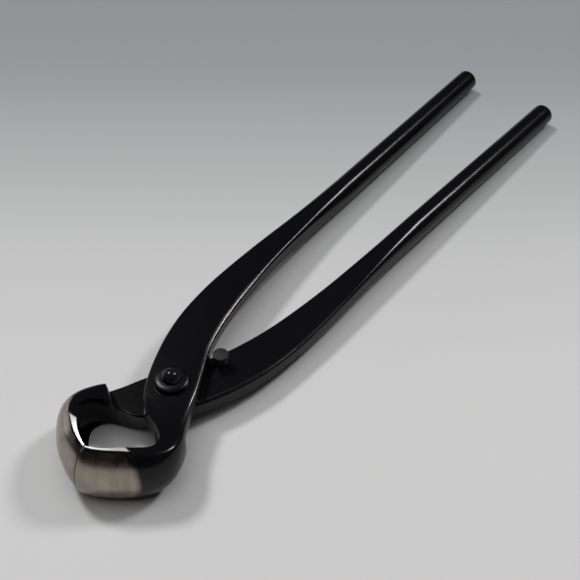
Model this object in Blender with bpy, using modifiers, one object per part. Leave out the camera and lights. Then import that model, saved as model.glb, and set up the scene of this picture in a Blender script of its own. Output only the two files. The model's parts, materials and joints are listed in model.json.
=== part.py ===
"""Spherical knob cutter: two forged levers that cross on a rivet and end in a hollow ball jaw.

Frame: metres, +Z up, the tool lying flat with the origin under the middle of its box. The
handles point along +X and the jaws meet at -X on the plane Y = 0. Every piece is modelled
round the pivot, at the plane where the two laps meet, and hangs on an empty that stands
there. The two levers share one table of sections: the lower one is turned half a turn about
the X axis, and its jaw is a little fuller.
"""

import math

import bmesh
import bpy
import numpy as np
from mathutils import Matrix

MM = 0.001

# Driving dimensions, in millimetres
ROD_END_X = 232.0  # distance from the pivot to the free end of a handle
ROD_END_Y = 21.2  # distance of a handle's axis from the middle line at its free end
ROD_START_X = 126.0  # where the flat arm has become a round handle
ROD_START_Y = 18.6
ROD_END_D = 9.8
ROD_START_D = 10.4
ROD_END_ROUND = 1.2  # rounding of a handle's free end
LAP_T = 6.0  # thickness of one lever where it crosses the other
GAP = 0.15  # half of the running gap between the laps
SEAM_X = -40.4  # where the top rims of the two jaws meet
SEAM_TOP = 12.0  # height of that point over the lap plane
SEAM_LOW_X = -43.0  # where the bottom rims meet
JAW_DROP = 2.0  # how much deeper the ball reaches below the lap plane than above it
SEAM_BOW = 5.6  # how far the ball stands out past its rims at the seam
BOW_SHAPE = 0.7  # exponent of the bow: 1 is a parabola, less is fuller next to the rims
UPPER_HEEL = np.array([0.3, 1.2, 1.5, 1.5, 1.3, 0.6])  # how the upper lever swells out round its foot
LOWER_HEEL = np.array([0.6, 1.8, 3.4])  # the lower lever deepens there
LOWER_BOW = 2.2  # how much fuller the lower lever's jaw is than the upper lever's
LOWER_SPREAD = 1.4  # how much wider the lower lever's jaw opens at its bottom rim
EDGE_LAND = 0.6  # thickness of the cutting edge
RIVET_R = 3.2
RIVET_HOLE_R = 3.5
DOME_R = 3.6
DOME_H = 2.9
WASHER_R = 6.4
WASHER_HOLE_R = 3.5
WASHER_T = 1.1  # sheet thickness of the dished washer
WASHER_DISH = 0.9  # how far the dished washer's middle stands up
CLEARANCE = 0.3  # gap between pieces that touch in the real tool
STOP_X, STOP_Y = 20.2, -5.2  # the closed upper lever nearly touches the pin's head here
STOP_NECK_R = 1.9
STOP_HEAD_R = 2.9
STOP_HEAD_H = 1.7
STOP_TOP_Z = 6.2
STOP_HOLE_R = 2.2

BALL_X = -47.3  # the far side of the ball
PIVOT_X = -(ROD_END_X + BALL_X) / 2  # centres the tool's length on the origin
PIVOT_Z = SEAM_TOP + JAW_DROP  # the jaws stand on the ground

CORNER_STEPS = 3  # segments in each corner of a section
SIDE_STEPS = 6  # segments down each side of a section
BETWEEN = 3  # sections added between two stations
TURNS = 40  # segments in a turned piece

# Stations of the upper lever from the handle to the seam. Each row holds the left and right
# edge of the top face (x, y), its height, the same for the bottom face, the corner radius and
# how far the section bows outwards at half height. "Left" is the outer side of the handle,
# which becomes the hollow side of the jaw.
ARM = [
    ((108, 23.0), (108, 13.4), 5.0, (108, 23.0), (108, 13.4), -4.4, 3.4, 0),
    ((92, 22.6), (92, 12.8), 5.1, (92, 22.6), (92, 12.8), -3.2, 2.0, 0),
    ((75, 22.7), (75, 11.5), 5.4, (75, 22.7), (75, 11.5), -1.8, 1.3, 0),
    ((58, 22.7), (59, 9.4), 5.7, (58, 22.7), (59, 9.4), -0.6, 1.2, 0),
    ((43, 22.1), (45, 7.0), 6.0, (43, 22.1), (45, 7.0), GAP, 1.2, 0),
    ((28, 20.3), (32, 4.0), 6.0, (28, 20.3), (32, 4.0), GAP, 1.2, 0),
    ((15, 16.9), (21, 0.2), 6.0, (15, 16.9), (21, 0.2), GAP, 1.2, 0),
    ((4, 12.4), (12, -4.8), 6.0, (4, 12.4), (12, -4.8), GAP, 1.2, 0),
    ((-5, 7.6), (4, -9.4), 6.0, (-5, 7.6), (4, -9.4), GAP, 1.2, 0),
    ((-11, 3.2), (-3.5, -12.9), 6.0, (-11, 3.2), (-3.5, -12.9), GAP, 1.2, 0),
    ((-14.8, -1.4), (-9.5, -15.8), 6.4, (-16.2, -1.6), (-9.5, -15.0), GAP, 1.2, 0.6),
    ((-16.7, -6.2), (-13.6, -18.4), 7.1, (-17.8, -7.4), (-14.2, -17.0), GAP, 1.0, 1.2),
]
JAW = [
    ((-17.5, -8.8), (-16.0, -19.6), 7.7, (-20.2, -10.6), (-15.8, -17.8), -5.2, 1.0, 2.0),
    ((-19.4, -12.8), (-20.2, -20.8), 8.5, (-22.3, -13.6), (-20.2, -19.0), -6.8, 0.9, 2.9),
    ((-22.4, -15.2), (-24.2, -20.2), 9.3, (-25.2, -15.2), (-24.8, -19.6), -8.2, 0.8, 3.7),
    ((-25.6, -15.2), (-27.6, -18.2), 10.1, (-28.4, -14.8), (-28.9, -18.6), -9.4, 0.7, 4.4),
    ((-29.2, -12.4), (-30.8, -14.4), 10.8, (-31.8, -12.6), (-32.8, -15.6), -10.4, 0.55, 4.9),
    ((-32.4, -9.2), (-33.7, -10.6), 11.3, (-34.5, -9.8), (-35.6, -11.7), -11.2, 0.4, 5.3),
    ((-35.6, -6.2), (-36.6, -7.2), 11.7, (-37.0, -6.6), (-38.0, -7.8), -11.7, 0.3, 5.5),
    ((-38.2, -3.2), (-39.0, -3.8), 11.9, (-38.7, -3.3), (-39.5, -4.0), -11.9, 0.25, 5.6),
]


def station(left, right, top, low_left, low_right, bottom, corner, bow):
    """One section as a row of 12 numbers: four corners, the corner radius and the bow."""
    return [*left, *right, top, *low_left, *low_right, bottom, corner, bow]


def round_station(x, y, diameter):
    """The section of a round handle: a square whose corner radius is half its side."""
    r = diameter / 2
    return station((x, y + r), (x, y - r), r, (x, y + r), (x, y - r), -r, r, 0)


def between(rows, steps):
    """Rows on a smooth curve (Catmull-Rom) through the given rows, the given rows included."""
    rows = np.array(rows, float)
    padded = np.vstack([2 * rows[0] - rows[1], rows, 2 * rows[-1] - rows[-2]])
    t = np.arange(steps)[:, None] / steps
    found = []
    for a, b, c, d in zip(padded, padded[1:], padded[2:], padded[3:]):
        found.append(
            0.5 * (2 * b + (c - a) * t + (2 * a - 5 * b + 4 * c - d) * t**2 + (3 * b - a - 3 * c + d) * t**3)
        )
    return np.vstack(found + [rows[-1:]])


def jaw_stations(deep):
    """Sections of one jaw up to the seam. deep is -1 where its bottom rim is the deep one, 1 for its top rim.

    The deep rim lies JAW_DROP further out along Z, and leans out to SEAM_LOW_X next to the seam.
    """
    rows = np.array([station(*row) for row in JAW])
    count = len(rows)
    place = np.arange(1, count + 1)
    z, x_left, x_right = (9, 5, 7) if deep < 0 else (4, 0, 2)
    if deep < 0:
        rows[:, z] -= JAW_DROP * np.minimum(1, place / 3)
        rows[:3, 8] -= UPPER_HEEL[3:]
    else:
        rows[:, z] = SEAM_TOP + JAW_DROP - 0.45 * (SEAM_TOP - rows[:, z])
    lean = (SEAM_LOW_X - SEAM_X) * (place / (count + 1)) ** 5
    rows[:, x_left] += lean
    rows[:, x_right] += lean
    if deep > 0:
        wall = rows[:, 2:4] - rows[:, 0:2]
        spread = LOWER_SPREAD * np.sin(math.pi * place / (count + 1))
        push = wall / np.hypot(*wall.T)[:, None] * spread[:, None]
        rows[:, 0:2] += push
        rows[:, 2:4] += push * 0.7
        rows[:, 11] += LOWER_BOW * np.sin(math.pi * (place / (count + 1)) ** 1.7)
    top_x, low_x = (SEAM_X, SEAM_LOW_X) if deep < 0 else (SEAM_LOW_X, SEAM_X)
    top_z, low_z = (SEAM_TOP, -SEAM_TOP - JAW_DROP) if deep < 0 else (SEAM_TOP + JAW_DROP, -SEAM_TOP)
    seam = station(
        (top_x + EDGE_LAND, -GAP), (top_x, -GAP), top_z, (low_x + EDGE_LAND, -GAP), (low_x, -GAP), low_z, 0.2, SEAM_BOW
    )
    return np.vstack([rows, seam])


def lever_stations(deep):
    """All sections of a lever, from the free end of the handle to the seam."""
    end_r = ROD_END_D / 2
    ends = []
    for angle in (90, 60, 30, 0):
        inset = ROD_END_ROUND * (1 - math.cos(math.radians(angle)))
        along = ROD_END_ROUND * (1 - math.sin(math.radians(angle)))
        ends.append(round_station(ROD_END_X - along, ROD_END_Y, 2 * (end_r - inset)))
    handle = []
    for share in np.linspace(0, 1, 5)[1:]:
        x = ROD_END_X - ROD_END_ROUND + share * (ROD_START_X - ROD_END_X + ROD_END_ROUND)
        y = ROD_END_Y + share * (ROD_START_Y - ROD_END_Y)
        handle.append(round_station(x, y, ROD_END_D + share * (ROD_START_D - ROD_END_D)))
    arm = np.array([station(*row) for row in ARM])
    if deep < 0:
        arm[-3:, 8] -= UPPER_HEEL[:3]
    else:
        arm[-3:, 4] += LOWER_HEEL
    arm = between(np.vstack([handle[-1], arm]), BETWEEN)
    return np.vstack([ends, handle[:-1], arm, between(jaw_stations(deep), BETWEEN)])


def section_points(row):
    """The closed loop of one section: a rounded rectangle on its four corners, then bowed.

    The loop is laid out flat first, u from left to right and v from bottom to top, both in
    millimetres. Then u slides along the line from the left to the right edge at that height.
    """
    top_left, top_right, top = row[0:2], row[2:4], row[4]
    low_left, low_right, bottom = row[5:7], row[7:9], row[9]
    corner, bow = row[10], row[11]
    width = (np.hypot(*(top_right - top_left)) + np.hypot(*(low_right - low_left))) / 2
    height = top - bottom
    corner = min(corner, 0.46 * width, 0.46 * height)
    flat = []
    for turn, (u0, v0) in enumerate(
        [(width - corner, height - corner), (corner, height - corner), (corner, corner), (width - corner, corner)]
    ):
        for step in range(CORNER_STEPS + 1):
            angle = math.pi / 2 * (turn + step / CORNER_STEPS)
            flat.append((u0 + corner * math.cos(angle), v0 + corner * math.sin(angle)))
        if turn in (1, 3):
            start = height - corner if turn == 1 else corner
            for step in range(1, SIDE_STEPS):
                v = start + (height - 2 * corner) * step / SIDE_STEPS * (-1 if turn == 1 else 1)
                flat.append((0.0 if turn == 1 else width, v))
    flat = np.array(flat)
    share_u = flat[:, :1] / width
    share_v = flat[:, 1:] / height
    left = low_left + (top_left - low_left) * share_v
    right = low_right + (top_right - low_right) * share_v
    middle = (right - left).mean(axis=0)
    outward = middle / np.hypot(*middle)
    plan = left + (right - left) * share_u + outward * bow * (4 * share_v * (1 - share_v)).clip(0) ** BOW_SHAPE
    return np.hstack([plan, bottom + flat[:, 1:]])


def loft(name, loops):
    """A closed body through the loops, with a flat face on each end."""
    count = len(loops[0])
    points = np.vstack(loops) * MM
    faces = []
    for ring in range(len(loops) - 1):
        for i in range(count):
            j = (i + 1) % count
            a, b = ring * count, (ring + 1) * count
            faces.append((a + i, a + j, b + j, b + i))
    faces.append(tuple(reversed(range(count))))
    faces.append(tuple(range((len(loops) - 1) * count, len(loops) * count)))
    mesh = bpy.data.meshes.new(name)
    mesh.from_pydata([tuple(p) for p in points], [], faces)
    return finished(name, mesh)


def finished(name, mesh):
    """Puts the mesh into the object's collection with its normals outwards, shaded smooth."""
    shape = bmesh.new()
    shape.from_mesh(mesh)
    bmesh.ops.recalc_face_normals(shape, faces=shape.faces)
    shape.to_mesh(mesh)
    shape.free()
    mesh.shade_smooth()
    mesh.set_sharp_from_angle(angle=math.radians(35))
    return on_pivot(bpy.data.objects.new(name, mesh), parts)


def on_pivot(piece, collection):
    """Links the piece to a collection and hangs it on the empty that stands at the pivot."""
    collection.objects.link(piece)
    piece.parent = pivot
    return piece


def turned(name, profile, axis_at=(0.0, 0.0)):
    """A turned piece: its half profile (radius, height), top to bottom, round the Z axis."""
    mesh = bpy.data.meshes.new(name)
    points = [(r * MM, 0.0, z * MM) for r, z in profile]
    mesh.from_pydata(points, [(i, i + 1) for i in range(len(points) - 1)], [])
    piece = on_pivot(bpy.data.objects.new(name, mesh), parts)
    piece.location = (axis_at[0] * MM, axis_at[1] * MM, 0.0)
    screw = piece.modifiers.new("turn", "SCREW")
    screw.steps = TURNS
    screw.render_steps = TURNS
    screw.use_merge_vertices = True
    screw.merge_threshold = 0.00001
    screw.use_smooth_shade = True
    return piece


def drill(piece, name, x, y, radius, low, high):
    """Cuts a round hole along Z through the piece."""
    bpy.ops.mesh.primitive_cylinder_add(vertices=TURNS, radius=radius * MM, depth=(high - low) * MM)
    cutter = bpy.context.object
    cutter.name = name
    cutter.location = (x * MM, y * MM, (low + high) / 2 * MM)
    for owner in cutter.users_collection:
        owner.objects.unlink(cutter)
    on_pivot(cutter, cutters)
    cutter.hide_render = True
    cutter.display_type = "WIRE"
    hole = piece.modifiers.new(name, "BOOLEAN")
    hole.operation = "DIFFERENCE"
    hole.solver = "EXACT"
    hole.object = cutter


def finish(piece, name, colour, roughness, metallic):
    """Gives the piece a material of its own."""
    material = bpy.data.materials.new(name)
    material.use_nodes = True
    shader = material.node_tree.nodes["Principled BSDF"]
    shader.inputs["Base Color"].default_value = (*colour, 1.0)
    shader.inputs["Roughness"].default_value = roughness
    shader.inputs["Metallic"].default_value = metallic
    piece.data.materials.append(material)


def upper_lever():
    piece = loft("upper_lever", [section_points(row) for row in lever_stations(-1)])
    drill(piece, "upper_rivet_hole", 0, 0, RIVET_HOLE_R, -LAP_T, 2 * LAP_T)
    finish(piece, "upper_lever_black_oxide", (0.012, 0.012, 0.014), 0.38, 0.6)


def lower_lever():
    piece = loft("lower_lever", [section_points(row) for row in lever_stations(1)])
    piece.data.transform(Matrix.Rotation(math.pi, 4, "X"))
    drill(piece, "lower_rivet_hole", 0, 0, RIVET_HOLE_R, -2 * LAP_T, LAP_T)
    drill(piece, "stop_pin_hole", STOP_X, STOP_Y, STOP_HOLE_R, -2 * LAP_T, LAP_T)
    finish(piece, "lower_lever_black_oxide", (0.012, 0.012, 0.014), 0.38, 0.6)


def dome_profile(base_z, up):
    """Half of a domed head from its tip down to its rim, as arc points. up is 1 or -1."""
    steps = 6
    return [
        (DOME_R * math.sin(math.pi / 2 * i / steps), base_z + up * DOME_H * math.cos(math.pi / 2 * i / steps))
        for i in range(steps + 1)
    ]


def pivot_rivet():
    seat = LAP_T + CLEARANCE + WASHER_T + WASHER_DISH + CLEARANCE
    top = dome_profile(seat, 1)
    low = dome_profile(-seat, -1)
    profile = top + [(RIVET_R, seat), (RIVET_R, -seat)] + low[::-1]
    piece = turned("pivot_rivet", profile)
    finish(piece, "rivet_black_oxide", (0.02, 0.02, 0.024), 0.22, 0.8)


def washer(name, side):
    """A dished washer: its rim lies on the lever and its middle stands up under the rivet's head."""
    low = LAP_T + CLEARANCE
    high = low + WASHER_DISH + WASHER_T
    inner = WASHER_HOLE_R
    shelf = DOME_R + 0.4  # the flat ring round the hole
    section = [
        (inner, high),
        (shelf, high),
        (WASHER_R - 0.9, high - 0.2),
        (WASHER_R - 0.1, high - 0.55),
        (WASHER_R, low + WASHER_T * 0.8),
        (WASHER_R, low),
        (WASHER_R - 1.0, low),
        (shelf, low + WASHER_DISH * 0.8),
        (inner, low + WASHER_DISH * 0.8),
        (inner, high),
    ]
    if side < 0:
        section = [(r, -z) for r, z in reversed(section)]
    piece = turned(name, section)
    finish(piece, name + "_black_oxide", (0.015, 0.015, 0.018), 0.3, 0.7)


def stop_pin():
    rounding = 0.4
    profile = [
        (0.0, STOP_TOP_Z),
        (STOP_HEAD_R - rounding, STOP_TOP_Z),
        (STOP_HEAD_R, STOP_TOP_Z - rounding),
        (STOP_HEAD_R, STOP_TOP_Z - STOP_HEAD_H),
        (STOP_NECK_R, STOP_TOP_Z - STOP_HEAD_H),
        (STOP_NECK_R, -LAP_T),
        (0.0, -LAP_T),
    ]
    piece = turned("stop_pin", profile, (STOP_X, STOP_Y))
    finish(piece, "stop_pin_black_oxide", (0.03, 0.03, 0.03), 0.45, 0.6)


for old in list(bpy.data.objects):
    bpy.data.objects.remove(old, do_unlink=True)
parts = bpy.data.collections.new("spherical_knob_cutter")
cutters = bpy.data.collections.new("cutters")
for made in (parts, cutters):
    bpy.context.scene.collection.children.link(made)
cutters.hide_render = True
pivot = bpy.data.objects.new("pivot", None)
pivot.location = (PIVOT_X * MM, 0.0, PIVOT_Z * MM)
parts.objects.link(pivot)

upper_lever()
lower_lever()
pivot_rivet()
washer("top_washer", 1)
washer("bottom_washer", -1)
stop_pin()
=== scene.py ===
"""Spherical knob cutter: the finished surfaces, floor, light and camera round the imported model.

Lengths in the tables are millimetres from the rivet's axis at the plane between the two laps.
"""

import json
import math

import bmesh
import bpy
import numpy as np
from mathutils import Matrix, Vector


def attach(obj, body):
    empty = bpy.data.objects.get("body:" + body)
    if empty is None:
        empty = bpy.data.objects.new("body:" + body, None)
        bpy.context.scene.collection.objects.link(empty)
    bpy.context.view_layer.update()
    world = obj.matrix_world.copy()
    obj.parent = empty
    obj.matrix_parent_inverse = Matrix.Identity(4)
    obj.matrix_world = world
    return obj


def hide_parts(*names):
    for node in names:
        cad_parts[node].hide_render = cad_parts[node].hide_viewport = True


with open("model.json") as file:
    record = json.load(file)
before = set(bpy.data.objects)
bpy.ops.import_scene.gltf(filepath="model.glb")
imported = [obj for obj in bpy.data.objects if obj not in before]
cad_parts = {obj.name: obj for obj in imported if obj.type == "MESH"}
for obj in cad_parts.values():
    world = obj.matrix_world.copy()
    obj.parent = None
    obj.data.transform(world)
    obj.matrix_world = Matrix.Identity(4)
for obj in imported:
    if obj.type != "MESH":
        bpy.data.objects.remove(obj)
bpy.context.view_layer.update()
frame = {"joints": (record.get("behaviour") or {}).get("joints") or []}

MM = 0.001
PIVOT = Vector(frame["joints"][0]["pos_m"])  # the rivet's axis where the laps meet

# The levers' driving sizes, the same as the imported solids'
ROD_END_X, ROD_END_Y, ROD_END_D = 232.0, 21.2, 9.8
ROD_START_X, ROD_START_Y, ROD_START_D = 126.0, 18.6, 10.4
ROD_END_ROUND = 1.2
LAP_T = 6.0
GAP = 0.15
SEAM_X, SEAM_LOW_X = -40.4, -43.0
SEAM_TOP, JAW_DROP = 12.0, 2.0
SEAM_BOW, BOW_SHAPE = 5.6, 0.7
EDGE_LAND, SEAM_CORNER = 0.6, 0.2
UPPER_HEEL = np.array([0.3, 1.2, 1.5, 1.5, 1.3, 0.6])
LOWER_HEEL = np.array([0.6, 1.8, 3.4])
LOWER_BOW, LOWER_SPREAD = 2.2, 1.4
LOWER_BOW_LATE = 1.7  # above 1, the lower jaw is fullest past the middle of its length
OUTER_SPREAD = 0.7  # how much of the spread the outer side of the lower jaw's rim follows
LOWER_RISE = 0.45  # the lower jaw's deep rim climbs to the seam by this share of the table's climb

SEAM_ROUND = 0.22  # the jaws' meeting edges are stoned over by this much, unlike the solids'

# The bright land, ground into a jaw's rim. It falls away outwards and fades out down the wall.
LAND_STEP = 0.12  # its depth at its inner edge
LAND_SLOPE = math.radians(12)
LAND_GONE, LAND_WHOLE = 2.2, 0.2  # how far below the rim the cut has died out, and is whole
LAND_SEAM_W, LAND_WIDENS = 0.55, 1.25  # its width at the seam, and how much it gains from there
LAND_DEPTH = 1.2  # how far below the rim the steel still shows
MARK_SOFT = 0.1  # half the width of the land's soft edge

# The bare steel on the outer side of a jaw
BARE_ACROSS = (0.55, 0.7)  # where it begins, as a share of the way from the inner to the outer side
BARE_BELOW_RIM = 0.25
BARE_AT_Z, BARE_LEAN = 3.0, 0.12  # the height where its edge is given, and its lean along X

# What the polishing belt did to an arm, and a painted highlight of grey steel along its edge. The
# four numbers of a stretch are where it starts to rise, is whole, starts to fall and has ended.
CROWN, CROWN_ALONG = 0.22, (-16, -8, 60, 110)  # how much the face away from the laps is domed
BELT_EDGE_W, BELT_EDGE_SLOPE = 1.6, math.radians(17)  # a soft bevel along its inner edge
BELT_EDGE_ALONG = (-16, 20, 50, 95)
# Painted highlight: grey steel laid in specks along the arm's upper long edge, where light would
# glint
PAINTED_HIGHLIGHT_DEGREE, PAINTED_HIGHLIGHT_DEPTH = 0.5, 0.5
PAINTED_HIGHLIGHT_ACROSS, PAINTED_HIGHLIGHT_ALONG = (0.1, 0.4, 0.9, 1.5), (-14, 4, 35, 80)

# Fineness of the grids
CORNER_STEPS, SIDE_STEPS, FACE_STEPS = 7, 36, 36
ROD_END_SECTIONS, ROD_SECTIONS = 7, 24
ARM_BETWEEN, JAW_BETWEEN = 10, 16
STEP_BETWEEN = 14  # sections over the shoulder where the lap ends and the jaw begins
CORNER_MOST = 0.4995  # a corner's radius as a share of its section, a hair under half
ROUND_STEPS = 96  # places once round a turned piece

RIVET_R, RIVET_HOLE_R = 3.2, 3.5
DOME_R, DOME_H = 3.6, 2.9
WASHER_R, WASHER_HOLE_R, WASHER_T, WASHER_DISH = 6.4, 3.5, 1.1, 0.9
WASHER_FALL = 0.6  # how far its upper face falls from the hole to the rim
CLEARANCE = 0.3
STOP_X, STOP_Y, STOP_TOP_Z = 20.2, -5.2, 6.2
STOP_NECK_R, STOP_HEAD_R, STOP_HEAD_H, STOP_HOLE_R = 1.9, 2.9, 1.7, 2.2
STOP_TOP_ROUND, STOP_LOW_ROUND = 0.35, 0.15
AXIS_R = 0.01  # a profile's least radius, closed by the fan on the end
OXIDE_SPECULAR = 0.22  # the black oxide mirrors less than a bare polished surface

# A section is a row: left and right edge of the top face (x, y), its height, the same for the
# bottom face, the corner radius and how far the section bows outwards. Left is the outer side of
# the handle.
TOP_LEFT, TOP_RIGHT, LOW_LEFT, LOW_RIGHT = slice(0, 2), slice(2, 4), slice(5, 7), slice(7, 9)
TOP_LEFT_X, TOP_RIGHT_X, TOP_Z, LOW_LEFT_X, LOW_RIGHT_X, LOW_RIGHT_Y, LOW_Z = 0, 2, 4, 5, 7, 8, 9
EVERY_Y = [1, 3, 6, 8]
CORNER, BOW = 10, 11
ARM = [
    (108, 23.0, 108, 13.4, 5.0, 108, 23.0, 108, 13.4, -4.4, 3.4, 0),
    (92, 22.6, 92, 12.8, 5.1, 92, 22.6, 92, 12.8, -3.2, 2.0, 0),
    (75, 22.7, 75, 11.5, 5.4, 75, 22.7, 75, 11.5, -1.8, 1.3, 0),
    (58, 22.7, 59, 9.4, 5.7, 58, 22.7, 59, 9.4, -0.6, 1.2, 0),
    (43, 22.1, 45, 7.0, 6.0, 43, 22.1, 45, 7.0, GAP, 1.2, 0),
    (28, 20.3, 32, 4.0, 6.0, 28, 20.3, 32, 4.0, GAP, 1.2, 0),
    (15, 16.9, 21, 0.2, 6.0, 15, 16.9, 21, 0.2, GAP, 1.2, 0),
    (4, 12.4, 12, -4.8, 6.0, 4, 12.4, 12, -4.8, GAP, 1.2, 0),
    (-5, 7.6, 4, -9.4, 6.0, -5, 7.6, 4, -9.4, GAP, 1.2, 0),
    (-11, 3.2, -3.5, -12.9, 6.0, -11, 3.2, -3.5, -12.9, GAP, 1.2, 0),
    (-14.8, -1.4, -9.5, -15.8, 6.4, -16.2, -1.6, -9.5, -15.0, GAP, 1.2, 0.6),
    (-16.7, -6.2, -13.6, -18.4, 7.1, -17.8, -7.4, -14.2, -17.0, GAP, 1.0, 1.2),
]
JAW = [
    (-17.5, -8.8, -16.0, -19.6, 7.7, -20.2, -10.6, -15.8, -17.8, -5.2, 1.0, 2.0),
    (-19.4, -12.8, -20.2, -20.8, 8.5, -22.3, -13.6, -20.2, -19.0, -6.8, 0.9, 2.9),
    (-22.4, -15.2, -24.2, -20.2, 9.3, -25.2, -15.2, -24.8, -19.6, -8.2, 0.8, 3.7),
    (-25.6, -15.2, -27.6, -18.2, 10.1, -28.4, -14.8, -28.9, -18.6, -9.4, 0.7, 4.4),
    (-29.2, -12.4, -30.8, -14.4, 10.8, -31.8, -12.6, -32.8, -15.6, -10.4, 0.55, 4.9),
    (-32.4, -9.2, -33.7, -10.6, 11.3, -34.5, -9.8, -35.6, -11.7, -11.2, 0.4, 5.3),
    (-35.6, -6.2, -36.6, -7.2, 11.7, -37.0, -6.6, -38.0, -7.8, -11.7, 0.3, 5.5),
    (-38.2, -3.2, -39.0, -3.8, 11.9, -38.7, -3.3, -39.5, -4.0, -11.9, 0.25, 5.6),
]


def linear(code):
    """An sRGB hex colour as linear red, green, blue and alpha."""
    parts = np.array([int(code[i : i + 2], 16) / 255 for i in (0, 2, 4)])
    parts = np.where(parts <= 0.04045, parts / 12.92, ((parts + 0.055) / 1.055) ** 2.4)
    return (*map(float, parts), 1.0)


def smooth(low, high, value):
    """0 below low, 1 above high and an S-curve between, for a whole array."""
    share = np.clip((value - low) / (high - low), 0, 1)
    return share * share * (3 - 2 * share)


def stretch(value, rises, whole, falls, ended):
    """An S-curve from 0 at rises up to 1 at whole, and another down again from falls to ended."""
    return smooth(rises, whole, value) * (1 - smooth(falls, ended, value))


def round_row(x, y, diameter):
    """The section of a round handle: a square whose corner radius is half its side."""
    r = diameter / 2
    return [x, y + r, x, y - r, r, x, y + r, x, y - r, -r, r, 0.0]


def between(rows, steps):
    """Rows on a smooth curve (Catmull-Rom) through the given rows, steps[i] of them from row i on.

    With a, b, c and d four rows running and t the share of the way from b to c, the curve is half
    of 2b + (c - a) t + (2a - 5b + 4c - d) t squared + (3b - a - 3c + d) t cubed.
    """
    rows = np.asarray(rows, float)
    padded = np.vstack([2 * rows[0] - rows[1], rows, 2 * rows[-1] - rows[-2]])
    first = np.repeat(np.arange(len(steps)), steps)
    t = np.concatenate([np.arange(count) / count for count in steps])[:, None]
    a, b, c, d = (padded[first + i] for i in range(4))
    square, cube = 2 * a - 5 * b + 4 * c - d, 3 * b - a - 3 * c + d
    curve = 0.5 * (2 * b + (c - a) * t + square * t**2 + cube * t**3)
    return np.vstack([curve, rows[-1:]])


def jaw_rows(deep):
    """Sections of one jaw up to the seam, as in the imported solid.

    deep is -1 where the low face becomes the deep rim, on the upper lever, and 1 where the top
    face does, on the lower lever, which is turned over afterwards. The deep rim lies JAW_DROP
    further out and leans towards the seam with the fifth power of the place along the jaw. The
    lower jaw also spreads and bows by a half sine along its length.
    """
    rows = np.array(JAW, float)
    count = len(rows)
    place = np.arange(1, count + 1)
    if deep < 0:
        x_left, x_right = LOW_LEFT_X, LOW_RIGHT_X
        rows[:, LOW_Z] -= JAW_DROP * np.minimum(1, place / 3)
        rows[:3, LOW_RIGHT_Y] -= UPPER_HEEL[3:]
    else:
        x_left, x_right = TOP_LEFT_X, TOP_RIGHT_X
        rows[:, TOP_Z] = SEAM_TOP + JAW_DROP - LOWER_RISE * (SEAM_TOP - rows[:, TOP_Z])
    lean = (SEAM_LOW_X - SEAM_X) * (place / (count + 1)) ** 5
    rows[:, x_left] += lean
    rows[:, x_right] += lean
    if deep > 0:
        wall = rows[:, TOP_RIGHT] - rows[:, TOP_LEFT]
        spread = LOWER_SPREAD * np.sin(math.pi * place / (count + 1))
        push = wall / np.hypot(*wall.T)[:, None] * spread[:, None]
        rows[:, TOP_LEFT] += push
        rows[:, TOP_RIGHT] += push * OUTER_SPREAD
        rows[:, BOW] += LOWER_BOW * np.sin(math.pi * (place / (count + 1)) ** LOWER_BOW_LATE)
    y = -GAP - SEAM_ROUND
    if deep < 0:
        (top_x, top_z), (low_x, low_z) = (SEAM_X, SEAM_TOP), (SEAM_LOW_X, -SEAM_TOP - JAW_DROP)
    else:
        (top_x, top_z), (low_x, low_z) = (SEAM_LOW_X, SEAM_TOP + JAW_DROP), (SEAM_X, -SEAM_TOP)
    top = [top_x + EDGE_LAND, y, top_x, y, top_z]
    low = [low_x + EDGE_LAND, y, low_x, y, low_z]
    return np.vstack([rows, [*top, *low, SEAM_CORNER, SEAM_BOW]])


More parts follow.
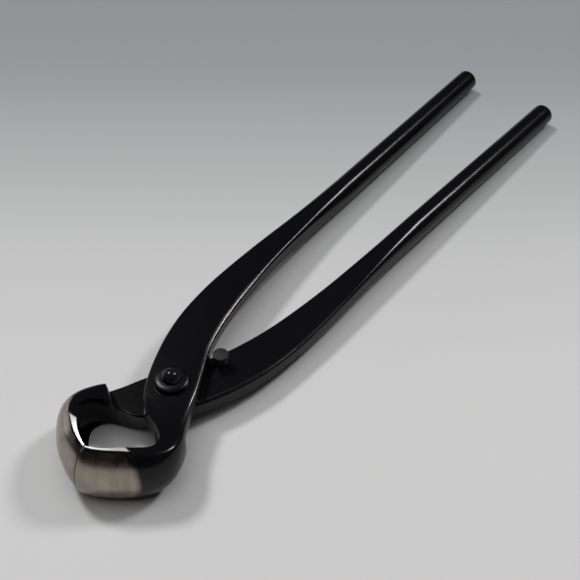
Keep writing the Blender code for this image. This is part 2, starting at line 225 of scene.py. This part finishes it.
def lever_rows(deep):
    """A lever's sections, from the handle's end to the seam, and the first jaw section's number.

    The handle's end is rounded by a quarter circle, and its thickness and place then run straight
    from end to start. From there the sections lie on one smooth curve through the arm and the
    jaw, except that the low face drops over the shoulder in an S-curve of its own. The last few
    sections shrink round a quarter circle, which rounds the seam's edges.
    """
    rows = []
    for angle in np.radians(np.linspace(90, 0, ROD_END_SECTIONS)):
        back, inwards = ROD_END_ROUND * (1 - math.sin(angle)), ROD_END_ROUND * (1 - math.cos(angle))
        rows.append(round_row(ROD_END_X - back, ROD_END_Y, 2 * (ROD_END_D / 2 - inwards)))
    x_first = ROD_END_X - ROD_END_ROUND
    for share in np.linspace(0, 1, ROD_SECTIONS + 1)[1:]:
        rows.append(
            round_row(
                x_first + share * (ROD_START_X - x_first),
                ROD_END_Y + share * (ROD_START_Y - ROD_END_Y),
                ROD_END_D + share * (ROD_START_D - ROD_END_D),
            )
        )
    arm = np.array(ARM, float)
    if deep < 0:
        arm[-3:, LOW_RIGHT_Y] -= UPPER_HEEL[:3]
    else:
        arm[-3:, TOP_Z] += LOWER_HEEL
    jaw = jaw_rows(deep)
    steps = [ARM_BETWEEN] * len(arm) + [STEP_BETWEEN] + [JAW_BETWEEN] * (len(jaw) - 1)
    forging = between(np.vstack([rows[-1], arm, jaw]), steps)
    lap_end = ARM_BETWEEN * len(arm)
    jaw_start = lap_end + STEP_BETWEEN
    arm_low = np.vstack([rows[-1], arm])[:, LOW_Z, None]
    forging[: lap_end + 1, LOW_Z] = between(arm_low, steps[: len(arm)])[:, 0]
    forging[jaw_start:, LOW_Z] = between(jaw[:, LOW_Z, None], steps[len(arm) + 1 :])[:, 0]
    fall = smooth(0.1, 0.9, np.arange(STEP_BETWEEN + 1) / STEP_BETWEEN)
    lap_low, jaw_low = arm[-1, LOW_Z], jaw[0, LOW_Z]
    forging[lap_end : jaw_start + 1, LOW_Z] = lap_low + (jaw_low - lap_low) * fall
    turn = np.radians([30, 60, 90])
    edge = np.repeat(forging[-1:], len(turn), axis=0)
    edge[:, EVERY_Y] += SEAM_ROUND * np.sin(turn)[:, None]
    inset = SEAM_ROUND * (1 - np.cos(turn))[:, None]
    edge[:, [TOP_LEFT_X, LOW_LEFT_X, TOP_Z]] -= inset
    edge[:, [TOP_RIGHT_X, LOW_RIGHT_X, LOW_Z]] += inset
    return np.vstack([rows[:-1], forging, edge]), len(rows) - 1 + lap_end + STEP_BETWEEN // 2


def section_grid(rows):
    """The lever's skin as a grid (section, place round the section) of points, with its two shares.

    Round a section the place runs over four rounded corners and the straight stretches between
    them. It gives u from left to right and v from bottom to top. Then a point slides along the
    line from the left to the right edge at its height, and out along it by the bow, which grows
    from nothing at the faces to all of it half way up, as a power of 4 v (1 - v).
    """
    top_width = np.hypot(*(rows[:, TOP_RIGHT] - rows[:, TOP_LEFT]).T)
    low_width = np.hypot(*(rows[:, LOW_RIGHT] - rows[:, LOW_LEFT]).T)
    width, height = (top_width + low_width) / 2, rows[:, TOP_Z] - rows[:, LOW_Z]
    corner = np.minimum(rows[:, CORNER], CORNER_MOST * np.minimum(width, height))
    corners = np.array([(1, 1), (0, 1), (0, 0), (1, 0)], float)
    angles = np.radians(np.linspace(0, 90, CORNER_STEPS + 1)) + np.arange(4)[:, None] * math.pi / 2
    rounds = np.stack([np.cos(angles), np.sin(angles)], axis=-1) + 1 - 2 * corners[:, None]
    base, turn = [], []
    for quarter in range(4):
        after = (quarter + 1) % 4
        steps = SIDE_STEPS if quarter % 2 else FACE_STEPS
        share = (np.arange(1, steps) / steps)[:, None]
        base += [np.repeat(corners[quarter][None], CORNER_STEPS + 1, axis=0)]
        base += [corners[quarter] + (corners[after] - corners[quarter]) * share]
        leaves, meets = rounds[quarter, -1], rounds[after, 0]
        turn += [rounds[quarter], leaves + (meets - leaves) * share]
    base, turn = np.vstack(base), np.vstack(turn)
    u = base[:, 0] * width[:, None] + turn[:, 0] * corner[:, None]
    v = base[:, 1] * height[:, None] + turn[:, 1] * corner[:, None]
    share_u, share_v = u / width[:, None], v / height[:, None]
    top_left, top_right, low_left, low_right = (
        rows[:, None, edge] for edge in (TOP_LEFT, TOP_RIGHT, LOW_LEFT, LOW_RIGHT)
    )
    left = low_left + (top_left - low_left) * share_v[..., None]
    right = low_right + (top_right - low_right) * share_v[..., None]
    middle = (right - left).mean(axis=1)
    outward = middle / np.hypot(*middle.T)[:, None]
    bow = rows[:, None, BOW] * np.clip(4 * share_v * (1 - share_v), 0, 1) ** BOW_SHAPE
    plan = left + (right - left) * share_u[..., None] + outward[:, None] * bow[..., None]
    points = np.concatenate([plan, (rows[:, None, LOW_Z] + v)[..., None]], axis=2)
    return points, share_u, share_v


def placed(name, points, faces):
    """A mesh of points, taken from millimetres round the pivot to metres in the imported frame."""
    mesh = bpy.data.meshes.new(name)
    mesh.from_pydata((points * MM + np.array(PIVOT)).tolist(), [], faces)
    return mesh


def skin(name, grid):
    """A closed mesh over a grid that closes in its second direction, with a fan on each end."""
    sections, around = grid.shape[:2]
    start = np.arange(sections - 1)[:, None] * around
    further = start + around
    here = np.arange(around)
    ahead = (here + 1) % around
    quads = np.stack([start + here, start + ahead, further + ahead, further + here], axis=-1)
    first, last = sections * around, sections * around + 1
    row = (sections - 1) * around
    fans = np.vstack([
        np.column_stack([ahead, here, np.full(around, first)]),
        np.column_stack([row + here, row + ahead, np.full(around, last)]),
    ])
    points = np.vstack([grid.reshape(-1, 3), grid[0].mean(axis=0), grid[-1].mean(axis=0)])
    return placed(name, points, quads.reshape(-1, 4).tolist() + fans.tolist())


def finished(name, mesh, sharp=32):
    """The mesh as an object: doubles merged, faces outwards, and smooth but for its sharp edges."""
    work = bmesh.new()
    work.from_mesh(mesh)
    bmesh.ops.remove_doubles(work, verts=work.verts, dist=1e-6)
    bmesh.ops.recalc_face_normals(work, faces=work.faces)
    work.to_mesh(mesh)
    work.free()
    mesh.shade_smooth()
    mesh.set_sharp_from_angle(angle=math.radians(sharp))
    piece = bpy.data.objects.new(name, mesh)
    bpy.context.scene.collection.objects.link(piece)
    return piece


def lever(name, deep, land_x, bare_x, bare_soft):
    """One lever: its skin; "land" and "bare" keep its ground places, a third its painted highlight.

    The bright land on the rim reaches back to land_x, widens on the way and slopes away outwards.
    The outer side of the jaw is "bare" as far back as bare_x, where the black skin begins over a
    distance of bare_soft. On the arm's long edge that faces up in use, grey steel is painted in as
    a highlight. The arm's face away from the laps is domed by a parabola across it, and cut down by
    a plane bevel along its inner edge.
    """
    rows, jaw_from = lever_rows(deep)
    grid, share_u, share_v = section_grid(rows)
    x = grid[..., 0]
    height = (rows[:, TOP_Z] - rows[:, LOW_Z])[:, None]
    width = np.hypot(*(rows[:, TOP_RIGHT] - rows[:, TOP_LEFT]).T)[:, None]
    from_left, from_right = share_u * width, (1 - share_u) * width
    rim = share_v if deep < 0 else 1 - share_v  # 1 on the rim that faces up in use
    above = rim * height
    in_jaw = (np.arange(len(rows)) >= jaw_from)[:, None]

    crown = CROWN * 4 * share_u * (1 - share_u) * stretch(x, *CROWN_ALONG)
    grid[..., 2] += crown * (share_v > 0.999)
    reach = BELT_EDGE_W * stretch(x, *BELT_EDGE_ALONG)
    bevel = rows[:, TOP_Z, None] - math.tan(BELT_EDGE_SLOPE) * np.maximum(reach - from_right, 0)
    grid[..., 2] = np.where(share_v > 0.5, np.minimum(grid[..., 2], bevel + crown), grid[..., 2])

    on_land = in_jaw * (1 - smooth(land_x - MARK_SOFT, land_x + MARK_SOFT, x))
    depth = (LAND_STEP + math.tan(LAND_SLOPE) * from_left) * on_land
    grid[..., 2] += deep * depth * smooth(height - LAND_GONE, height - LAND_WHOLE, above)
    land_w = LAND_SEAM_W + LAND_WIDENS * np.clip((x - SEAM_X) / (land_x - SEAM_X), 0, 1)
    land = on_land * (above > height - LAND_DEPTH)
    land = land * (1 - smooth(land_w - MARK_SOFT, land_w + MARK_SOFT, from_left))

    side = smooth(*BARE_ACROSS, share_u) * (above < height - BARE_BELOW_RIM) * in_jaw
    side_x = bare_x + BARE_LEAN * (grid[..., 2] * -deep - BARE_AT_Z)
    bare = side * (1 - smooth(side_x - bare_soft / 2, side_x + bare_soft / 2, x))

    # Painted highlight: grey steel along the long edge that faces up, where the light would glint
    edge = from_left if deep > 0 else from_right
    painted_edge_highlight = PAINTED_HIGHLIGHT_DEGREE * stretch(edge, *PAINTED_HIGHLIGHT_ACROSS) * (above > height - PAINTED_HIGHLIGHT_DEPTH)
    painted_edge_highlight = painted_edge_highlight * stretch(x, *PAINTED_HIGHLIGHT_ALONG)

    mesh = skin(name, grid * ([1, 1, 1] if deep < 0 else [1, -1, -1]))
    for mark, value in (("bare", bare), ("land", land), ("painted_edge_highlight", painted_edge_highlight)):
        value = np.append(value.ravel(), [0.0, 0.0]).astype(np.float32)
        mesh.attributes.new(mark, "FLOAT", "POINT").data.foreach_set("value", value)
    return finished(name, mesh)


def carried_round(profile, x=0.0, y=0.0):
    """A grid: each point (radius, height) of a profile carried once round the Z axis at (x, y)."""
    profile = np.array(profile, float)
    turn = np.radians(np.arange(ROUND_STEPS) * 360 / ROUND_STEPS)
    return np.stack([
        x + profile[:, :1] * np.cos(turn),
        y + profile[:, :1] * np.sin(turn),
        np.repeat(profile[:, 1:], ROUND_STEPS, axis=1),
    ], axis=-1)


def drilled(piece, x, y, radius):
    """Cuts a round hole along Z right through the piece."""
    grid = carried_round([(radius, -3 * LAP_T), (radius, 3 * LAP_T)], x, y)
    cutter = finished("cutter", skin("cutter", grid))
    hole = piece.modifiers.new("hole", "BOOLEAN")
    hole.operation, hole.solver, hole.object = "DIFFERENCE", "EXACT", cutter
    bpy.context.view_layer.update()
    graph = bpy.context.evaluated_depsgraph_get()
    old = piece.data
    piece.data = bpy.data.meshes.new_from_object(piece.evaluated_get(graph))
    piece.modifiers.clear()
    bpy.data.meshes.remove(old)
    bpy.data.objects.remove(cutter)


def turned(name, profile, x=0.0, y=0.0):
    """A turned piece: its half profile carried round the Z axis, with a fan on each end."""
    return finished(name, skin(name, carried_round(profile, x, y)), sharp=40)


def washer(name, side):
    """A dished washer, above the laps for side 1 and below them for -1.

    Its upper face falls with the cube of the way from the hole to the rim. The profile closes on
    itself, so the quads run round it as well as round the axis.
    """
    low = LAP_T + CLEARANCE
    top, hollow = low + WASHER_DISH + WASHER_T, low + WASHER_DISH * 0.8
    reach = np.linspace(WASHER_HOLE_R + 0.1, WASHER_R - 0.12, 16)
    fall = WASHER_FALL * ((reach - WASHER_HOLE_R) / (WASHER_R - WASHER_HOLE_R)) ** 3
    profile = np.vstack([
        [(WASHER_HOLE_R, hollow), (WASHER_HOLE_R, top - 0.1)],
        np.column_stack([reach, top - fall]),
        [(WASHER_R, low + WASHER_T * 0.8), (WASHER_R, low), (WASHER_R - 1.0, low)],
        [(DOME_R + 0.4, hollow)],
    ]) * [1, side]
    ring = carried_round(profile)
    index = np.arange(ring.shape[0] * ROUND_STEPS).reshape(ring.shape[:2])
    further = np.roll(index, -1, axis=0)
    faces = np.stack(
        [index, np.roll(index, -1, axis=1), np.roll(further, -1, axis=1), further], axis=-1
    )
    mesh = placed(name, ring.reshape(-1, 3), faces.reshape(-1, 4).tolist())
    return finished(name, mesh, sharp=30)


def arc(centre_r, centre_z, radius, start, end, steps):
    """Points of a profile on an arc, its angles in degrees from the outward direction."""
    angle = np.radians(np.linspace(start, end, steps))
    return np.column_stack([centre_r + radius * np.cos(angle), centre_z + radius * np.sin(angle)])


def add(tree, kind, inputs=None, **settings):
    """Adds a node: settings are its properties, inputs its values or links, by name or number."""
    made = tree.nodes.new(kind)
    for key, value in settings.items():
        setattr(made, key, value)
    for key, value in (inputs or {}).items():
        if isinstance(value, bpy.types.NodeSocket):
            tree.links.new(value, made.inputs[key])
        else:
            made.inputs[key].default_value = value
    return made


def material(name):
    """An empty material with its shader, and a position in millimetres to lay patterns on."""
    made = bpy.data.materials.new(name)
    made.use_nodes = True
    tree = made.node_tree
    tree.nodes.clear()
    shader = add(tree, "ShaderNodeBsdfPrincipled")
    add(tree, "ShaderNodeOutputMaterial", {"Surface": shader.outputs["BSDF"]})
    metres = add(tree, "ShaderNodeTexCoord").outputs["Object"]
    place = add(tree, "ShaderNodeMapping", {"Vector": metres, "Scale": (1000, 1000, 1000)})
    return made, tree, shader, place.outputs["Vector"]


def forged_finish(name):
    """Forged carbon steel, belt-polished and hot-blacked: a thin satin-black oxide skin.

    To the eye it is a near-black, slightly blue surface with a soft sheen, faintly uneven from
    forging, with cross-wise belt marks. Where "bare" is 1 the skin is ground away and brown-grey
    satin steel shows, with upright grinding lines. Where "land" is 1 the steel is freshly ground
    and nearly white, and spreads its glints. Along the arm's upper long edge a painted highlight
    lays dull grey steel on in specks, where the light would glint. Real grinding lines are about
    0.1 mm apart. Those here are drawn coarser, so that they show.
    """
    made, tree, shader, place = material(name)
    forging_mm, grain_mm, belt_mm, fringe_mm, grinding_mm = 9, 0.9, 0.8, 1.6, 3.2
    across_belt, along_grinding = (1.0, 0.12, 0.3), (1.0, 1.0, 0.1)  # stretch a pattern into lines

    forging = add(
        tree,
        "ShaderNodeTexNoise",
        {"Vector": place, "Scale": 1 / forging_mm, "Detail": 3.0, "Roughness": 0.5},
    ).outputs["Fac"]
    grain = add(
        tree,
        "ShaderNodeTexNoise",
        {"Vector": place, "Scale": 1 / grain_mm, "Detail": 4.0, "Roughness": 0.6},
    ).outputs["Fac"]
    stretched = add(tree, "ShaderNodeMapping", {"Vector": place, "Scale": across_belt})
    belt = add(
        tree,
        "ShaderNodeTexNoise",
        {
            "Vector": stretched.outputs["Vector"],
            "Scale": 1 / belt_mm,
            "Detail": 3.0,
            "Roughness": 0.65,
        },
    ).outputs["Fac"]

    # The black skin
    black = add(
        tree,
        "ShaderNodeMix",
        {0: forging, 6: linear("0b0b0d"), 7: linear("111114")},
        data_type="RGBA",
    ).outputs[2]
    skin_rough = add(
        tree,
        "ShaderNodeMapRange",
        {"Value": belt, "From Min": 0.3, "From Max": 0.7, "To Min": 0.165, "To Max": 0.205},
    ).outputs["Result"]

    # Where the skin gives way to bare steel, along a ragged line
    fringe = add(
        tree,
        "ShaderNodeTexNoise",
        {"Vector": place, "Scale": 1 / fringe_mm, "Detail": 4.0, "Roughness": 0.6},
    ).outputs["Fac"]
    wander = add(
        tree,
        "ShaderNodeMapRange",
        {"Value": fringe, "From Min": 0.2, "From Max": 0.8, "To Min": -0.05, "To Max": 0.05},
    ).outputs["Result"]
    bare = add(tree, "ShaderNodeAttribute", attribute_name="bare").outputs["Fac"]
    ragged = add(tree, "ShaderNodeMath", {0: bare, 1: wander}, operation="ADD").outputs[0]
    mask = add(
        tree,
        "ShaderNodeMapRange",
        {"Value": ragged, "From Min": 0.1, "From Max": 0.9, "To Min": 0.0, "To Max": 1.0},
    ).outputs["Result"]

    # The bare steel
    lines = add(tree, "ShaderNodeMapping", {"Vector": place, "Scale": along_grinding})
    ground = add(
        tree,
        "ShaderNodeTexNoise",
        {
            "Vector": lines.outputs["Vector"],
            "Scale": 1 / grinding_mm,
            "Detail": 3.0,
            "Roughness": 0.45,
        },
    ).outputs["Fac"]
    steel = add(
        tree,
        "ShaderNodeMix",
        {0: ground, 6: linear("72685f"), 7: linear("b0a89f")},
        data_type="RGBA",
    ).outputs[2]
    steel_rough = add(
        tree,
        "ShaderNodeMapRange",
        {"Value": ground, "From Min": 0.3, "From Max": 0.7, "To Min": 0.22, "To Max": 0.3},
    ).outputs["Result"]

    # Each finish laid over the one before: the bare steel, the land and the painted edge highlight
    colour = add(tree, "ShaderNodeMix", {0: mask, 6: black, 7: steel}, data_type="RGBA").outputs[2]
    rough = add(tree, "ShaderNodeMix", {0: mask, 2: skin_rough, 3: steel_rough}).outputs[0]
    land = add(tree, "ShaderNodeAttribute", attribute_name="land").outputs["Fac"]
    colour = add(
        tree, "ShaderNodeMix", {0: land, 6: colour, 7: linear("f0eeea")}, data_type="RGBA"
    ).outputs[2]
    rough = add(tree, "ShaderNodeMix", {0: land, 2: rough, 3: 0.42}).outputs[0]
    # Painted highlight: dull grey steel in specks along the arm's upper edge, standing in for its
    # glint
    painted_edge_highlight = add(tree, "ShaderNodeAttribute", attribute_name="painted_edge_highlight").outputs["Fac"]
    painted_highlight_specks = add(tree, "ShaderNodeMath", {0: painted_edge_highlight, 1: grain}, operation="MULTIPLY").outputs[0]
    colour = add(
        tree, "ShaderNodeMix", {0: painted_highlight_specks, 6: colour, 7: linear("a09c98")}, data_type="RGBA"
    ).outputs[2]
    rough = add(tree, "ShaderNodeMix", {0: painted_highlight_specks, 2: rough, 3: 0.45}).outputs[0]

    # It is metal wherever even a little steel shows, so the edge of the skin has no pale haze
    opened = add(tree, "ShaderNodeMath", {0: mask, 1: land}, operation="MAXIMUM").outputs[0]
    steel_seen = add(tree, "ShaderNodeMath", {0: opened, 1: painted_highlight_specks}, operation="MAXIMUM").outputs[0]
    metal = add(
        tree,
        "ShaderNodeMapRange",
        {"Value": steel_seen, "From Min": 0.0, "From Max": 0.15, "To Min": 0.0, "To Max": 1.0},
    ).outputs["Result"]
    tree.links.new(metal, shader.inputs["Metallic"])
    tree.links.new(colour, shader.inputs["Base Color"])
    tree.links.new(rough, shader.inputs["Roughness"])
    shader.inputs["Specular IOR Level"].default_value = OXIDE_SPECULAR

    # Belt marks and grain 0.02 mm deep, and the forging's unevenness 0.15 mm deep
    marks = add(tree, "ShaderNodeMath", {0: belt, 1: grain}, operation="ADD").outputs[0]
    fine = add(
        tree, "ShaderNodeBump", {"Height": marks, "Strength": 0.06, "Distance": 0.00002}
    ).outputs["Normal"]
    uneven = add(
        tree,
        "ShaderNodeBump",
        {"Height": forging, "Strength": 0.5, "Distance": 0.00015, "Normal": fine},
    ).outputs["Normal"]
    tree.links.new(uneven, shader.inputs["Normal"])
    return made


def turned_finish(name, code, low, high):
    """Turned or pressed carbon steel, hot-blacked: black of the given hex code, a little mottled.

    To the eye it is a plain dark skin with soft glints. Its roughness wanders from low to high.
    """
    made, tree, shader, place = material(name)
    mottle_mm, spot_tone = 1.5, 0.6
    mottle = add(
        tree,
        "ShaderNodeTexNoise",
        {"Vector": place, "Scale": 1 / mottle_mm, "Detail": 4.0, "Roughness": 0.6},
    ).outputs["Fac"]
    spots = (*(part * spot_tone for part in linear(code)[:3]), 1.0)
    colour = add(
        tree, "ShaderNodeMix", {0: mottle, 6: spots, 7: linear(code)}, data_type="RGBA"
    ).outputs[2]
    tree.links.new(colour, shader.inputs["Base Color"])
    rough = add(
        tree,
        "ShaderNodeMapRange",
        {"Value": mottle, "From Min": 0.3, "From Max": 0.7, "To Min": low, "To Max": high},
    ).outputs["Result"]
    tree.links.new(rough, shader.inputs["Roughness"])
    shader.inputs["Specular IOR Level"].default_value = OXIDE_SPECULAR
    bump = add(tree, "ShaderNodeBump", {"Height": mottle, "Strength": 0.3, "Distance": 0.00005})
    tree.links.new(bump.outputs["Normal"], shader.inputs["Normal"])
    return made


# The levers
forged_black = forged_finish("hot_blacked_forged_steel")
upper = lever("upper_forging", -1, -31.7, -34.6, 3.4)
drilled(upper, 0, 0, RIVET_HOLE_R)
lower = lever("lower_forging", 1, -34.0, -28.8, 1.4)
drilled(lower, 0, 0, RIVET_HOLE_R)
drilled(lower, STOP_X, STOP_Y, STOP_HOLE_R)
for piece, node_name, body in (
    (upper, "upper_lever", "upper_half"),
    (lower, "lower_lever", "lower_half"),
):
    piece.data.materials.clear()
    piece.data.materials.append(forged_black)
    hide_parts(node_name)
    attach(piece, body)

# The rivet, its dished washers and the stop pin
seat = LAP_T + CLEARANCE + WASHER_T + WASHER_DISH + CLEARANCE
ball_r = (DOME_R**2 + DOME_H**2) / (2 * DOME_H)
rim_angle = math.degrees(math.asin((ball_r - DOME_H) / ball_r))
dome = arc(0, seat + DOME_H - ball_r, ball_r, 89.9, rim_angle, 20)  # begins just off the axis
neck = np.array([(DOME_R, seat), (RIVET_R, seat), (RIVET_R, -seat), (DOME_R, -seat)])
rivet = turned("domed_rivet", np.vstack([dome, neck, (dome * [1, -1])[::-1]]))

upper_washer = washer("upper_dished_washer", 1)
lower_washer = washer("lower_dished_washer", -1)

head_low, top_r, low_r = STOP_TOP_Z - STOP_HEAD_H, STOP_TOP_ROUND, STOP_LOW_ROUND
pin_profile = np.vstack([
    [(AXIS_R, STOP_TOP_Z)],
    arc(STOP_HEAD_R - top_r, STOP_TOP_Z - top_r, top_r, 90, 0, 6),
    arc(STOP_HEAD_R - low_r, head_low + low_r, low_r, 0, -90, 4),
    [(STOP_NECK_R, head_low), (STOP_NECK_R, -LAP_T), (AXIS_R, -LAP_T)],
])
pin = turned("button_stop_pin", pin_profile, STOP_X, STOP_Y)

turned_black = turned_finish("hot_blacked_turned_steel", "1b1b20", 0.16, 0.24)
washer_black = turned_finish("hot_blacked_pressed_steel", "0d0d10", 0.26, 0.32)
pin_black = turned_finish("worn_blacked_pin", "2e2d30", 0.4, 0.5)
for piece, node_name, finish in (
    (rivet, "pivot_rivet", turned_black),
    (upper_washer, "top_washer", washer_black),
    (lower_washer, "bottom_washer", washer_black),
    (pin, "stop_pin", pin_black),
):
    piece.data.materials.append(finish)
    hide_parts(node_name)
    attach(piece, "lower_half")

# The floor touches the bottom of the jaws and the handles' free ends
FLOOR_HALF, FLOOR_BELOW = 1.8, 0.0001  # metres
jaw_foot = Vector((-38.0, 0.0, -SEAM_TOP - JAW_DROP))
handle_foot = Vector((ROD_END_X, 0.0, -ROD_END_D / 2))
slope = math.atan2(handle_foot.z - jaw_foot.z, handle_foot.x - jaw_foot.x)
tilt = Matrix.Rotation(-slope, 4, "Y")
floor_mesh = bpy.data.meshes.new("floor")
corners = [(-1, -1, 0), (1, -1, 0), (1, 1, 0), (-1, 1, 0)]
floor_mesh.from_pydata([Vector(corner) * FLOOR_HALF for corner in corners], [], [(0, 1, 2, 3)])
floor = bpy.data.objects.new("floor", floor_mesh)
foot = PIVOT + jaw_foot * MM - Vector((0, 0, FLOOR_BELOW))
floor.matrix_world = Matrix.Translation(foot) @ tilt
bpy.context.scene.collection.objects.link(floor)

# The camera, above and in front of the jaws, looking down along the handles
SENSOR_MM = 36.0
LENS_MM = SENSOR_MM * 950 / 580  # so that the frame is 580 wide at a distance of 950
CAMERA_AT = PIVOT + Vector((-132.7, -157.8, 278.7)) * MM
RIGHT = Vector((0.6351, -0.7723, 0.0166)).normalized()
FORWARD = Vector((0.5263, 0.4168, -0.7412)).normalized()
UP = RIGHT.cross(FORWARD)
camera_data = bpy.data.cameras.new("camera")
camera_data.sensor_width, camera_data.lens = SENSOR_MM, LENS_MM
camera = bpy.data.objects.new("camera", camera_data)
turned_to = Matrix((RIGHT, UP, -FORWARD)).transposed().to_4x4()
camera.matrix_world = Matrix.Translation(CAMERA_AT) @ turned_to
bpy.context.scene.collection.objects.link(camera)
bpy.context.scene.camera = camera
bpy.context.scene.view_settings.view_transform = "Standard"

# The paper sweep, with painted shade in its colour for the light's fall-off: lighter on the near
# side, going to a darker, cooler grey on the far side. The numbers are millimetres along the
# floor, away from the camera.
NEAR_MM, FAR_MM = -40.0, 300.0
paper_sweep_painted_falloff, tree, shader, place = material("matt_paper_sweep_painted_falloff")
away = Vector((FORWARD.x, FORWARD.y, 0)).normalized()
along = add(tree, "ShaderNodeVectorMath", {0: place, 1: away}, operation="DOT_PRODUCT")
share = add(
    tree,
    "ShaderNodeMapRange",
    {
        "Value": along.outputs["Value"],
        "From Min": NEAR_MM,
        "From Max": FAR_MM,
        "To Min": 0.0,
        "To Max": 1.0,
    },
).outputs["Result"]
# Painted shade: the ramp darkens the paper away from the camera in place of the light's fall-off
paper_and_painted_falloff = add(tree, "ShaderNodeValToRGB", {0: share})
paper_and_painted_falloff.color_ramp.interpolation = "CARDINAL"
for spot, code in ((0.3, "d4d4d4"), (0.5, "c4c5c5"), (0.75, "a3a5a7")):
    paper_and_painted_falloff.color_ramp.elements.new(spot).color = linear(code)
paper_and_painted_falloff.color_ramp.elements[0].color = linear("dad9d9")
paper_and_painted_falloff.color_ramp.elements[-1].color = linear("939599")
tree.links.new(paper_and_painted_falloff.outputs["Color"], shader.inputs["Base Color"])
shader.inputs["Roughness"].default_value = 0.9
shader.inputs["Specular IOR Level"].default_value = 0.2
floor_mesh.materials.append(paper_sweep_painted_falloff)

# Two lamps behind the tool, left and right, a broad soft ceiling that leaves no reflection, and
# a dim pale wall low on the left, which the far jaw mirrors. Each has its direction from the
# tool, distance, width and height in metres, watts, and whether the steel mirrors it.
for name, direction, distance, width, height, watts, mirrored in (
    ("lamp_right", Vector((0.63, -0.27, 0.728)), 2.5, 0.46, 0.46, 19.6, True),
    ("lamp_left", Vector((0.07, 0.53, 0.845)), 2.5, 0.46, 0.46, 26.3, True),
    ("soft_ceiling", Vector((0.0, 0.0, 1.0)), 2.5, 2.28, 2.28, 20.7, False),
    ("pale_wall", Vector((-0.15, 0.97, 0.16)), 2.0, 1.6, 0.9, 3.4, True),
):
    lamp_data = bpy.data.lights.new(name, "AREA")
    lamp_data.shape, lamp_data.energy = "ELLIPSE", watts
    lamp_data.size, lamp_data.size_y = width, height
    lamp = bpy.data.objects.new(name, lamp_data)
    lamp.visible_glossy = mirrored
    lamp.visible_camera = False
    direction.normalize()
    lamp.location = PIVOT + direction * distance
    lamp.rotation_euler = direction.to_track_quat("Z", "Y").to_euler()
    bpy.context.scene.collection.objects.link(lamp)

# A dim room lights the tool a little, and the camera sees it as pale paper beyond the floor
world = bpy.data.worlds.new("dim_room")
world.use_nodes = True
bpy.context.scene.world = world
room = world.node_tree
room.nodes.clear()
dim = add(room, "ShaderNodeBackground", {"Color": linear("8a8681"), "Strength": 0.07})
pale = add(room, "ShaderNodeBackground", {"Color": linear("939599"), "Strength": 1.0})
seen = add(room, "ShaderNodeLightPath").outputs["Is Camera Ray"]
both = add(room, "ShaderNodeMixShader", {0: seen, 1: dim.outputs[0], 2: pale.outputs[0]})
add(room, "ShaderNodeOutputWorld", {"Surface": both.outputs[0]})
